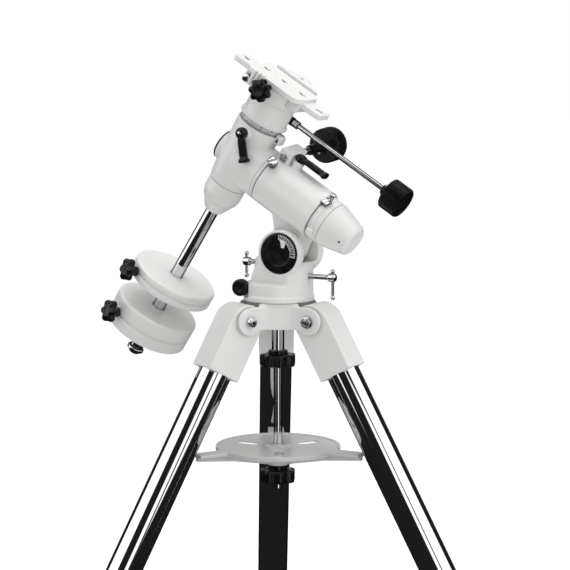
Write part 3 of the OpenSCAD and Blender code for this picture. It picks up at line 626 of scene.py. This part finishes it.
rear = spin([(21, 140.3, 0.3), (RING_R - 1.5, 140.3, 0.3), (RING_R, 141.4, 0.8), (RING_R, 149, 0.3),
             (RING_R - 0.5, 149.5), (RING_R, 150, 0.3), (RING_R, 157.4, 0.6), (RING_R - 1, 158, 0.4),
             (21, 158, 0.3)], 128, closed=True)
lug = loft([(30, 5, 5, 0), (34.5, 5, 5, 0), (36, 4.2, 4.4, 0)], 28, 5)
add("rear_ring_turned", joined([(rear, Matrix()), (lug, turn("Z", -63) @ shift(0, 0, 148))]), ALONG,
    WHITE_SMOOTH, "altitude", "rear_ring")
cap = spin([(18.5, 153.2, 0.3), (20.8, 153.2, 0.3), (20.8, 158.4), (RING_R - 0.8, 158.4, 0.4),
            (RING_R, 159.2, 0.4), (RING_R, 160.5, 2), (21.8, 197, 3.4), (17.4, 200, 1),
            (16.6, 199.2, 0.4), (0, 199)], 128)
dot = spin([(0, 0), (1.5, 0, 0.3), (1.5, 0.6, 0.3), (0.8, 0.6), (0.6, 0.2), (0, 0.2)], 24)
cap_inside = spin([(18.5, 153.2), (18.5, 194), (0, 196)], 96)
add("rear_cap_turned", joined([(cap, Matrix()), (cap_inside, Matrix())]), ALONG, WHITE_SMOOTH, "rear_cap",
    "rear_cap")
add("rear_cap_pin", dot, ALONG @ turn("Z", -80) @ shift(24, 0, 189) @ turn("Y", 76), ZINC, "rear_cap")

knob = spin([(4, 56), (7, 56, 0.5), (7, 91.5, 0.8), (12, 93, 0.6), (22.4, 93, 0.8), (24, 94.6, 0.6),
             (24, 116, 0.8), (21.2, 119.4, 0.8), (18.6, 120.8, 0.6), (17.6, 117.6, 0.5), (15.4, 117.6, 0.5),
             (14.8, 118.8, 0.5), (8, 119.2, 0.5), (7.2, 116.8, 0.4), (3.6, 116.8, 0.4),
             (3.2, 118.2, 0.4), (0, 118.4)], 216, flutes(44, 1.5, 22.6))
add("ra_control_knob", knob, WORM, BLACK, "ra_worm", "ra_knob")
screw = spin([(0, 0), (1.8, 0), (1.8, 1.6, 0.4), (0, 1.6)], 24)
add("ra_knob_screw", screw, WORM @ turn("Z", 40) @ shift(6.6, 0, 76) @ turn("Y", 90), ZINC, "ra_worm")

plug = carve(spin([(0, -9.8), (6.2, -9.8), (6.2, -10.7, 0.3), (5.6, -11.1, 0.3), (0, -11.1)], 48),
             [(slot_cut(16, 1.6, 0.7), shift(0, 0, -10.4) @ turn("Y", 180))])
add("worm_box_plug", plug, WORM, ZINC, "altitude")

THUMB = POLAR @ turn("X", 45) @ shift(55, 0, 0)
grip = spin([(0, 34), (3, 34), (3, 36), (5.2, 36, 0.4), (5.2, 39, 0.6), (7, 39.6, 0.6), (7, 46.6, 0.9),
             (5.4, 48, 0.5), (0, 48)], 120, flutes(20, 0.6, 6.4))
grip = carve(grip, [(slot_cut(20, 3.6, 3.4), shift(0, 0, 48) @ turn("Z", 60))])
add("housing_thumbscrew_side", grip, THUMB, CHROME, "altitude", "housing_thumbscrews")
pin = spin([(0, 24), (2, 24), (2, 40, 0.3), (3, 40.4, 0.4), (3, 42, 0.4), (3.8, 42.6, 0.5),
            (3.8, 47.4, 0.7), (2, 48.2, 0.4), (1.6, 46.8), (0, 46.8)], 84, flutes(14, 0.4, 3.4))
add("housing_thumbscrew_rear", pin, POLAR @ turn("X", 27) @ shift(148, 0, 0), CHROME, "altitude")

# a small two-screw bracket beside the rear thumbscrew
bracket = loft([(-5.4, 3.6, 2.6, 34.2), (-4.8, 4.4, 3.2, 34.2), (4.8, 4.4, 3.2, 34.2),
                (5.4, 3.6, 2.6, 34.2)], 40, 6)
bracket = carve(bracket, [(slot_cut(6, 1.4, 0.9), shift(x, 0, 37.4) @ turn("Z", 70)) for x in (-2.6, 2.6)])
add("rear_bracket", bracket, POLAR @ turn("X", 38) @ shift(143.5, 0, 0), CHROME, "altitude")
# the pointer of the declination circle, with its screw and its printed arrow
pointer = loft([(31.4, 6.4, 5.8, 51), (32, 7.4, 6.8, 51), (38.6, 7.4, 6.6, 50.8), (40.4, 5.8, 5.2, 50.4)],
               48, 5)
add("dec_pointer", pointer, POLAR, WHITE, "ra")
screw = carve(spin([(0, 56.8), (2.9, 56.8), (2.9, 58.4, 0.4), (2.4, 58.9, 0.3), (0, 58.9)], 40),
              [(slot_cut(12, 1, 0.9), shift(0, 0, 58.9) @ turn("Z", 35))])
add("dec_pointer_screw", screw, POLAR @ shift(35.6, 0, 0), STEEL, "ra")
arrow = prism([(-2.4, -3.4), (2.4, -3.4), (0, 3.6)], 0, 0.12)
add("dec_pointer_arrow", arrow, POLAR @ shift(35.4, -7.36, 50.6) @ turn("X", 90), MARK_BLACK, "ra")


def handle(length, half, flare, thick, ribs):
    """A moulded handle along X with cross ribs and a flared end."""
    sections = [(4, half * 0.8, thick * 0.75, 0), (10, half * 0.92, thick, 0)]
    first, last = 13, length - 9
    for i in range(ribs):
        x = first + (last - first) * i / (ribs - 1)
        sections += [(x - 0.9, half * 0.9, thick * 0.86, 0), (x - 0.4, half, thick, 0),
                     (x + 0.4, half, thick, 0), (x + 0.9, half * 0.9, thick * 0.86, 0)]
    sections += [(length - 6.5, half * 0.92, thick * 0.95, 0), (length - 3.6, flare, thick * 1.12, 0),
                 (length - 1, flare, thick * 1.12, 0), (length - 0.2, flare * 0.88, thick, 0),
                 (length, flare * 0.7, thick * 0.8, 0)]
    return loft(sections, 40, 4)


root = spin([(0, 45.5), (7.4, 45.5, 0.6), (7.8, 47, 0.6), (7.2, 53, 1.2), (3, 54.8, 0.6), (0, 54.9)], 64)
add("ra_lever", joined([(root, Matrix()), (handle(43, 6.6, 7.8, 3.6, 9), shift(0, 0, 50))]),
    POLAR @ shift(77.5, -4, 0), BLACK, "ra_lock", "ra_lock_lever")
stem = spin([(0, 26), (2.4, 26, 0.4), (3, 27), (3, 46), (0, 46)], 32)
add("ra_lever_screw", stem, POLAR @ shift(77.5, -4, 0), STEEL, "ra_lock")

# ---- Declination axis ----

add("dec_housing_casting", cast("dec_housing", voxel=0.8, rounds=8), Matrix(), WHITE, "ra", "dec_housing",
    60)

front = spin([(0, 26), (7.9, 26), (7.9, 31.5), (21.4, 31.5, 0.2), (21.4, 32.9, 0.5), (20.6, 33.5, 0.3),
              (0, 33.7)], 96)
add("polar_front_cap_moulding", front, POLAR @ turn("Y", -90), BLACK, "front_cap", "polar_front_cap")

DEC_CIRCLE_R, DEC_TICKS, DEC_TICK_END, DEC_NUMBERS = 30.5, 90, 52.6, 12
circle = ring(24.06, DEC_CIRCLE_R, 52.4, 59.9, 0.4, 128)
add("dec_circle_ring", circle, POLAR, GREY, "dec_circle", "dec_setting_circle")
ticks = []
for i in range(DEC_TICKS):
    size = 2.6 if i % 5 else 4
    place = turn("Z", i * 360 / DEC_TICKS) @ shift(DEC_CIRCLE_R - 0.04, 0, DEC_TICK_END + size / 2)
    ticks.append((bar(0.9, size, 0.1), place @ turn("Y", 90) @ turn("Z", 90)))
for i in range(DEC_NUMBERS):
    # 90 down to 0 and up again to 90, twice round
    value = abs(90 - 30 * (i % 6))
    place = turn("Z", i * 360 / DEC_NUMBERS) @ shift(DEC_CIRCLE_R, 0, 58.2)
    ticks.append(digits(str(value), 3.2, place @ turn("Y", 90) @ turn("Z", 90)))
dial(ticks, "dec_circle_marks", POLAR, MARK_BLACK, "dec_circle")

LEVER = POLAR @ shift(0, 0, 40) @ turn("Y", 50) @ turn("X", 90)
root = spin([(0, 36.4), (7.8, 36.4, 0.6), (8, 38.4, 0.6), (7.6, 44, 3), (4.2, 46.8, 1.4), (0, 47)], 64)
add("dec_lever", joined([(root, Matrix()), (handle(39, 5.9, 7.8, 3.4, 8), shift(0, 0, 41.6))]), LEVER,
    BLACK, "dec_lock", "dec_lock_lever")
stem = spin([(0, 22), (2.4, 22, 0.4), (3, 23), (3, 37), (0, 37)], 32)
add("dec_lever_screw", stem, LEVER, STEEL, "dec_lock")
button = spin([(0, 46.6), (2.6, 46.6, 0.3), (2.6, 47.4, 0.8), (0, 48)], 32)
add("dec_lever_button", button, LEVER, ZINC, "dec_lock")

add("nose_cone_casting", cast("nose_cone", voxel=0.6, rounds=4), Matrix(), WHITE, "ra", "nose_cone",
    50)

shaft = spin([(0, -318), (8, -318, 0.4), (9, -316.8, 0.4), (9, -59, 0.3), (0, -59)], 96)
add("counterweight_bar", shaft, POLAR, CHROME, "ra", "counterweight_shaft")


def weight(top, h, r, groove):
    """A turned counterweight with a groove and rounded edges."""
    return spin([(9.05, -top - 0.6), (10.2, -top, 0.4), (r - 2.4, -top, 1.5), (r, -top - 2.4, 1.8),
                 (r, -top - groove + 2.2, 0.8), (r - 1.8, -top - groove + 0.9, 0.5),
                 (r - 1.8, -top - groove - 0.9, 0.5), (r, -top - groove - 2.2, 0.8),
                 (r, -top - h + 2.6, 2), (r - 2.6, -top - h, 2), (10.2, -top - h, 0.4),
                 (9.05, -top - h + 0.6)], 160, closed=True)


def bar_knob(reach):
    """The knob of a counterweight of radius reach, and its screw down to the bar."""
    knob = spin([(0, reach + 10.3), (7.6, reach + 10.3, 0.6), (16, reach + 11.6, 2), (16, reach + 19, 2.4),
                 (9, reach + 21.8, 1), (5, reach + 21.9, 0.4), (4.6, reach + 21, 0.4), (0, reach + 21)],
                144, star(6, 0.26, 8.4))
    neck = spin([(0, reach + 1.2), (6.4, reach + 1.2, 0.5), (7, reach + 2.6, 0.5), (6.4, reach + 11),
                 (0, reach + 11)], 48)
    screw = spin([(0, 10), (3, 10, 0.6), (4, 11), (4, reach + 2), (0, reach + 2)], 32)
    return joined([(knob, Matrix()), (neck, Matrix())]), screw


for name, top, h, r, groove, angle in (("upper", 194, 22, 60, 11, 240),
                                       ("lower", 248.5, 41.5, 59, 22.5, 246)):
    deep = h / 2
    body = weight(top, h, r, groove)
    screw_hole = spin([(0, 0), (4.05, 0), (4.05, 70), (0, 70)], 32)
    body = carve(body, [(screw_hole, shift(0, 0, -top - deep) @ turn("Z", angle) @ turn("Y", 90))])
    add(f"weight_{name}_turned", joined([(body, POLAR)]), Matrix(), WHITE_SMOOTH, f"weight_{name}",
        f"counterweight_{name}", 40)
    place = POLAR @ shift(0, 0, -top - deep) @ turn("Z", angle) @ turn("Y", 90)
    grip, screw = bar_knob(r)
    add(f"weight_{name}_knob", grip, place, BLACK, f"weight_knob_{name}", f"counterweight_knob_{name}")
    add(f"weight_{name}_screw", screw, place, STEEL, f"weight_knob_{name}")

stop = spin([(0, -328), (6.4, -328, 1), (8, -326.6, 0.8), (8, -323.8, 0.3), (11.2, -323.6, 0.5),
             (12, -322.8, 0.5), (12, -319, 0.6), (10.6, -318.3, 0.4), (3, -318.3), (3, -301),
             (0, -301)], 72)
add("safety_screw_turned", stop, POLAR, CHROME, "safety_screw", "safety_screw")

head = spin([(17.6, 60.4), (33.2, 60.4, 0.4), (34, 61.2, 0.5), (34, 62.2, 0.3), (33.5, 62.5),
             (34, 62.8, 0.3), (34, 64, 0.6), (32, 64.8, 0.4), (31.5, 66, 0.6), (31.5, 92.4, 0.5),
             (31, 93, 0.3), (11.1, 93), (11.1, 86), (17.6, 86)], 128, closed=True)
rod_hole = spin([(0, -22), (6.2, -22), (6.2, 50), (0, 50)], 48)
head = carve(head, [(rod_hole, shift(0, DEC_WORM_Y, DEC_WORM_Z) @ turn("Y", 90))])
add("dec_head_turned", head, POLAR, WHITE_SMOOTH, "dec", "dec_head", 40)

# A black bush on the rod: outside the head it is the black coupling, and inside the head's bore it fills
# the gap round the rod with painted shade.
bush_and_gap_shade = ring(3.2, 6.1, 18, 30.2, 0.6, 48)
add("dec_worm_bush_and_gap_shade", bush_and_gap_shade, DEC_WORM, BLACK, "dec")
worm = spin([(0, -19), (3, -19, 0.3), (3, -14)] + thread(5.5, -14, 13, 3, 1.4)
            + [(3, 14), (3, 31), (5.5, 31.2, 0.5), (5.5, 35, 0.3), (4.9, 35.4), (5.5, 35.8, 0.3),
               (5.5, 39.6, 0.8), (3.5, 40.2), (3.5, ROD_END + 5.6, 0.4), (0, ROD_END + 6)], 64)
add("dec_control_rod", worm, DEC_WORM, ROD_CHROME, "dec_worm", "dec_worm")
knob = spin([(3.5, ROD_END - 8), (6.4, ROD_END - 8, 0.6), (7.6, ROD_END - 7, 0.5), (7.6, ROD_END - 1, 0.5),
             (17, ROD_END, 0.8), (20.2, ROD_END + 0.6, 0.6), (21.5, ROD_END + 2, 0.5),
             (21.5, ROD_END + 26, 0.8), (20, ROD_END + 27.9, 0.6), (17.4, ROD_END + 28, 0.4),
             (16.6, ROD_END + 27, 0.4), (0, ROD_END + 27)], 240, flutes(40, 1.5, 20))
add("dec_control_knob", knob, DEC_WORM, BLACK, "dec_worm", "dec_knob")
screw = spin([(0, 0), (2.1, 0), (2.1, 2, 0.5), (0, 2)], 24)
add("dec_knob_screw", screw, DEC_WORM @ turn("Z", 200) @ shift(6.6, 0, ROD_END - 4) @ turn("Y", 90), ZINC,
    "dec_worm")

# ---- Saddle and plate ----

add("saddle_casting", cast("saddle", voxel=0.7, rounds=4), Matrix(), WHITE, "dec", "saddle",
    50)
PLATE_TOP, ARM_TOP, SLOT_DEEP = 120, 115.6, 3
slots = [POLAR @ shift(x, 0, z) for x, z in ((-64, ARM_TOP), (-31, PLATE_TOP), (0, PLATE_TOP),
                                             (31, PLATE_TOP), (64, ARM_TOP))]
plate = cast("mounting_plate", cuts=[(slot_cut(11, 5.4, SLOT_DEEP), p) for p in slots], voxel=0.7,
             rounds=3)
add("mounting_plate_casting", plate, Matrix(), WHITE, "plate", "mounting_plate", 50)
# Painted shade: thin black matt sheets on the floors of the plate's slots stand in for the dark inside of
# the slots.
slot_shade_corners = ((-1, -0.6), (-0.8, -1), (0.8, -1), (1, -0.6), (1, 0.6), (0.8, 1), (-0.8, 1), (-1, 0.6))
for i, p in enumerate(slots):
    slot_shade = prism([(x * 5.2, y * 2.5) for x, y in slot_shade_corners], -3.6, -1.6)
    slot_shade = carve(slot_shade, [(spin([(0, -3), (1.6, -3), (1.6, 5), (0, 5)], 24), Matrix())])
    add(f"plate_slot_shade_{i + 1}", slot_shade, p, BLACK_MATT, "plate")

# the near clamp jaw: a web on the saddle with three upright fingers that guide the plate
finger = loft([(101, 3.4, 2.2, 0), (102, 4.2, 3, 0), (118.5, 4.4, 3.1, 0), (122, 3.6, 2.6, 0),
               (123.4, 1.8, 1.4, 0)], 32, 3)
web = loft([(-27.6, 7, 4.4, 0), (-27, 8, 5.2, 0), (-8.6, 8, 5.2, 0), (-8, 7, 4.4, 0)], 40, 6)
fingers = [(finger, shift(x, -41, 0) @ turn("Y", -90)) for x in (-11.4, -17.8, -24.2)]
add("clamp_jaw", joined([(web, shift(0, -35.4, 106.2))] + fingers), POLAR, WHITE, "dec")

place = POLAR @ shift(0, 0, 107) @ turn("X", 90)
grip = spin([(0, 48), (8, 48, 0.5), (15.5, 48.8, 1.8), (15.5, 59.4, 2.2), (9.4, 61, 0.8), (5.4, 61, 0.4),
             (5, 59.8, 0.4), (0, 59.8)], 168, star(7, 0.2, 8.6))
neck = spin([(0, 40.5), (6.5, 40.5, 0.5), (6.5, 48.4), (0, 48.4)], 48)
add("clamp_star_knob", joined([(grip, Matrix()), (neck, Matrix())]), place, BLACK, "clamp_knob",
    "saddle_clamp_knob")
screw = spin([(0, 21.8), (2.4, 21.8, 0.3), (3, 22.6), (3, 41), (0, 41)], 32)
add("clamp_knob_screw", screw, place, STEEL, "clamp_knob")
screw = spin([(0, 22.3), (2, 22.3, 0.3), (2.4, 23), (2.4, 34.1), (4.8, 34.1, 0.4), (5.5, 35, 0.4),
              (5.5, 40, 0.6), (4.4, 41, 0.4), (0, 41)], 96, flutes(16, 0.5, 4.9))
add("lock_thumbscrew", screw, POLAR @ shift(-34, 0, 105) @ turn("X", 90), CHROME, "lock_screw",
    "saddle_lock_screw")

# ---- Internal parts, shown as the CAD has them ----

for name, material in (("ra_bearings", BRASS), ("polar_shaft", STEEL), ("ra_worm_wheel", BRASS),
                       ("ra_worm", ZINC), ("dec_shaft", STEEL), ("dec_worm_wheel", BRASS)):
    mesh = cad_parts[name].data
    mesh.materials.clear()
    mesh.materials.append(material)

# ---- Studio ----


def smooth_band(n, value, low, high, soft):
    """1 between low and high, with soft edges."""
    a, b = (n.add("MapRange", interpolation_type="SMOOTHSTEP") for _ in range(2))
    for node, start, end in ((a, low - soft, low + soft), (b, high + soft, high - soft)):
        node.inputs["From Min"].default_value, node.inputs["From Max"].default_value = start, end
        n.link(value, node.inputs["Value"])
    return n.calc("MULTIPLY", a.outputs[0], b.outputs[0])


class WorldNodes(Nodes):
    def __init__(self, world):
        world.use_nodes = True
        self.tree = world.node_tree
        self.tree.nodes.clear()


CAMERA_AT = Vector((1.2014, -2.2209, 1.032))
LOOK = Vector((-0.4692, 0.8751, -0.1189))
AIM = math.atan2(-LOOK.y, -LOOK.x)

world = bpy.data.worlds.new("studio")
bpy.context.scene.world = world
n = WorldNodes(world)
direction = n.add("TexCoord").outputs["Generated"]
rotated = n.add("Mapping", vector_type="VECTOR")
rotated.inputs["Rotation"].default_value = (0, 0, -AIM)
n.link(direction, rotated.inputs["Vector"])
axes = n.add("SeparateXYZ")
n.link(rotated.outputs[0], axes.inputs[0])
azimuth, height = n.calc("ARCTAN2", axes.outputs["Y"], axes.outputs["X"]), axes.outputs["Z"]


def panel(az0, az1, low, high, strength, soft=0.03):
    """A softbox seen in reflections: azimuths from the camera's side, heights as the sine of elevation."""
    wide = smooth_band(n, azimuth, math.radians(az0), math.radians(az1), soft)
    tall = smooth_band(n, height, low, high, soft)
    return n.calc("MULTIPLY", n.calc("MULTIPLY", wide, tall), strength)


panels = [panel(30, 100, 0.02, 0.75, 1.6), panel(-115, -40, 0.02, 0.75, 1.5), panel(4, 22, -0.6, 0.5, 1.4),
          panel(-200, 200, 0.8, 1.5, 1.5), panel(150, 200, -0.1, 0.6, 0.5),
          panel(-200, -150, -0.1, 0.6, 0.5)]
total = panels[0]
for extra in panels[1:]:
    total = n.calc("ADD", total, extra)
dim = n.calc("ADD", total, 0.014)

paths = n.add("LightPath")
shiny = n.add("Background")
n.link(dim, shiny.inputs["Color"])
fill = n.add("Background", Strength=0.62, Color=(1, 1, 1, 1))
plain = n.add("Background", Strength=1.0, Color=(1, 1, 1, 1))
background = fill
for ray, seen in (("Is Glossy Ray", shiny), ("Is Camera Ray", plain)):
    choice = n.add("MixShader")
    for i, source in enumerate((paths.outputs[ray], background.outputs[0], seen.outputs[0])):
        n.link(source, choice.inputs[i])
    background = choice
n.link(background.outputs[0], n.add("OutputWorld").inputs["Surface"])


def softbox(name, where, size, power):
    light = bpy.data.lights.new(name, "AREA")
    light.shape, light.size, light.size_y, light.energy = "RECTANGLE", size[0], size[1], power
    obj = bpy.data.objects.new(name, light)
    bpy.context.scene.collection.objects.link(obj)
    obj.location = where
    obj.rotation_euler = (Vector((0, 0, 0.75)) - Vector(where)).to_track_quat("-Z", "Y").to_euler()
    obj.visible_glossy = False
    return obj


softbox("top_light", (0.2, 0.1, 2.9), (2.4, 2.4), 32)
softbox("side_light", (2.4, 0.3, 1.5), (1.6, 2.0), 14)

floor = bpy.data.meshes.new("floor")
floor.from_pydata([(-30, -30, 0), (30, -30, 0), (30, 30, 0), (-30, 30, 0)], [], [(0, 1, 2, 3)])
floor_obj = bpy.data.objects.new("floor", floor)
bpy.context.scene.collection.objects.link(floor_obj)
floor_paint = Nodes("floor_paper")
seen = floor_paint.ramp(floor_paint.add("LightPath").outputs["Is Camera Ray"], 0.0, 0.42, 0.0, 1.0)
floor_paint.set(Base_Color=(0.93, 0.93, 0.93, 1), Roughness=0.9, Emission_Color=(1, 1, 1, 1),
                Emission_Strength=seen)
floor.materials.append(floor_paint.material)
floor_obj.visible_glossy = False

camera = bpy.data.cameras.new("camera")
camera.lens, camera.sensor_width, camera.clip_end = 120, 36, 100
camera_obj = bpy.data.objects.new("camera", camera)
bpy.context.scene.collection.objects.link(camera_obj)
camera_obj.location = CAMERA_AT
camera_obj.rotation_euler = LOOK.to_track_quat("-Z", "Y").to_euler()
bpy.context.scene.camera = camera_obj
bpy.context.scene.view_settings.view_transform = "Standard"
